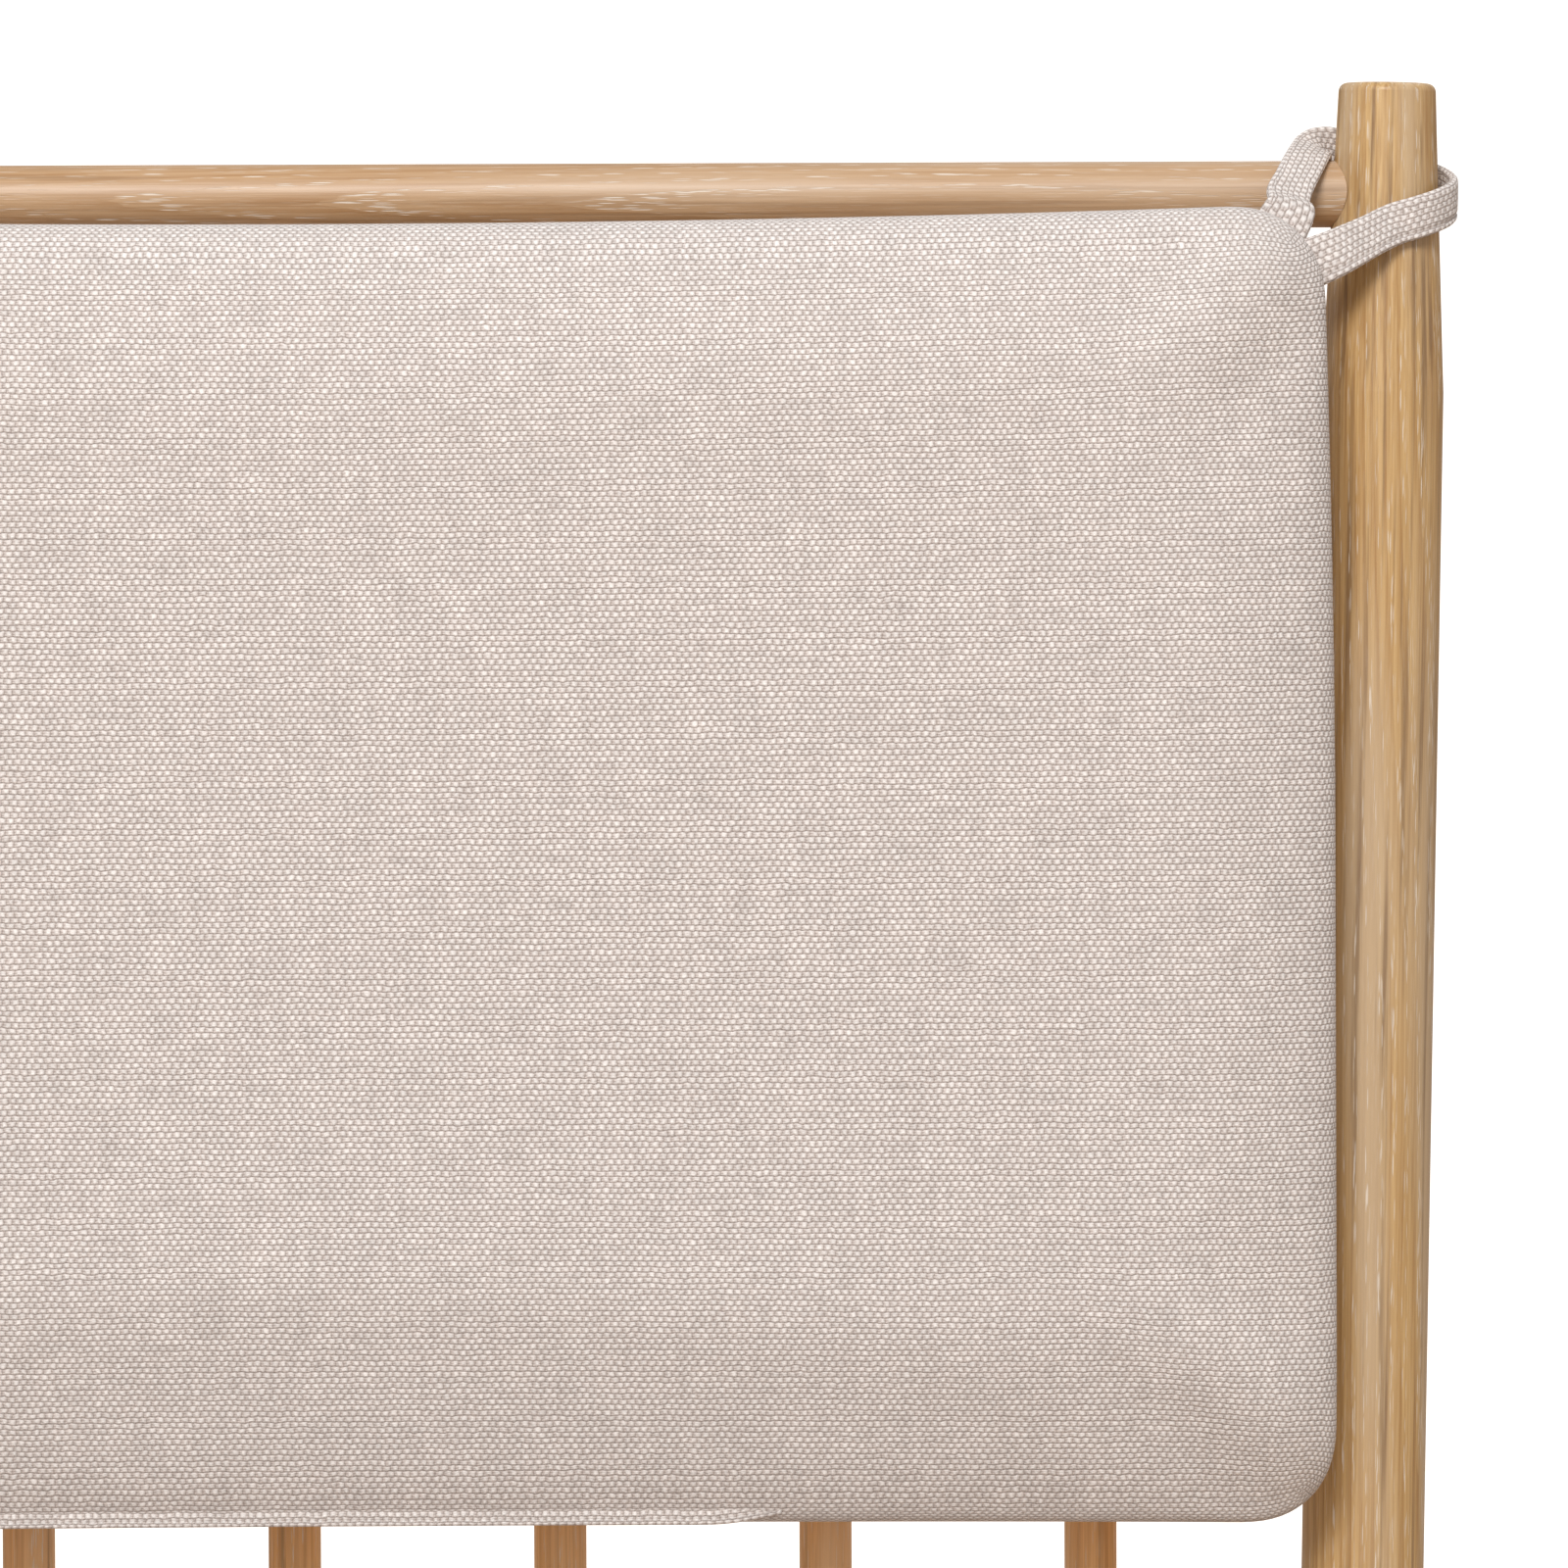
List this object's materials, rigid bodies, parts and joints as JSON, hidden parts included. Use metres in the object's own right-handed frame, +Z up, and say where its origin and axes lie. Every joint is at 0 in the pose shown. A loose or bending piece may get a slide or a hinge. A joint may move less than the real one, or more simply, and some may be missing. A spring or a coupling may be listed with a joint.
{
  "type": "wooden armchair",
  "caption": "Low oak lounge armchair with a raked spindle back, flat arms, slatted seat, loose seat cushion and a back cushion hung from the post tips by cloth loops.",
  "frame": {"origin": "on the floor, at the middle of the chair's bounding box seen from above", "axes": "+Z up, +X to the right as the chair is seen from its front, +Y to the rear"},
  "size_m": [0.6964, 0.682, 0.9474],
  "materials": {
    "oak": "satin",
    "wedge_oak": "satin",
    "slat_oak": "matte",
    "steel": "satin",
    "glide_nylon": "matte",
    "zip_nylon": "matte",
    "foam": "matte",
    "cushion_cloth": "matte",
    "strap_cloth": "matte"
  },
  "bodies": {
    "frame": {"arm_left": "oak", "arm_right": "oak", "arm_wedge_left": "wedge_oak", "arm_wedge_right": "wedge_oak", "back_post_left": "oak", "back_post_right": "oak", "back_spindle_1": "oak", "back_spindle_2": "oak", "back_spindle_3": "oak", "back_spindle_4": "oak", "back_spindle_5": "oak", "back_spindle_6": "oak", "back_spindle_7": "oak", "barrel_nuts": "steel", "cleat_screws": "steel", "cover_buttons": "oak", "crest_rail": "oak", "cross_stretcher": "oak", "front_post_left": "oak", "front_post_right": "oak", "front_seat_rail": "oak", "glide_back_left": "glide_nylon", "glide_back_right": "glide_nylon", "glide_front_left": "glide_nylon", "glide_front_right": "glide_nylon", "lower_back_rail": "oak", "rear_seat_rail": "oak", "seat_cleat_left": "slat_oak", "seat_cleat_right": "slat_oak", "seat_rail_bolts": "steel", "seat_slat_1": "slat_oak", "seat_slat_2": "slat_oak", "seat_slat_3": "slat_oak", "seat_slat_4": "slat_oak", "seat_slat_5": "slat_oak", "seat_slat_6": "slat_oak", "seat_slat_7": "slat_oak", "seat_slat_8": "slat_oak", "side_rail_left": "oak", "side_rail_right": "oak", "side_stretcher_left": "oak", "side_stretcher_right": "oak", "slat_screws": "steel"},
    "back_loops": {"strap_loop_left": "strap_cloth", "strap_loop_right": "strap_cloth"},
    "back_cushion": {"back_cushion_core": "foam", "back_cushion_cover": "cushion_cloth", "back_cushion_zip": "zip_nylon"},
    "seat_cushion": {"seat_cushion_core": "foam", "seat_cushion_cover": "cushion_cloth", "seat_cushion_zip": "zip_nylon"}
  },
  "joints": [
    {"name": "back_loops_lift", "type": "slide", "parent": "frame", "child": "back_loops", "axis": [0, 0.2079, 0.9781], "range_m": [0, 0.06]},
    {"name": "back_cushion_swing", "type": "hinge", "parent": "back_loops", "child": "back_cushion", "pos_m": [0, 0.28722, 0.91878], "axis": [-1, 0, 0], "range_deg": [0, 60]},
    {"name": "seat_cushion_lift", "type": "slide", "parent": "frame", "child": "seat_cushion", "axis": [0, -0.17, 0.9854], "range_m": [0, 0.3]}
  ]
}
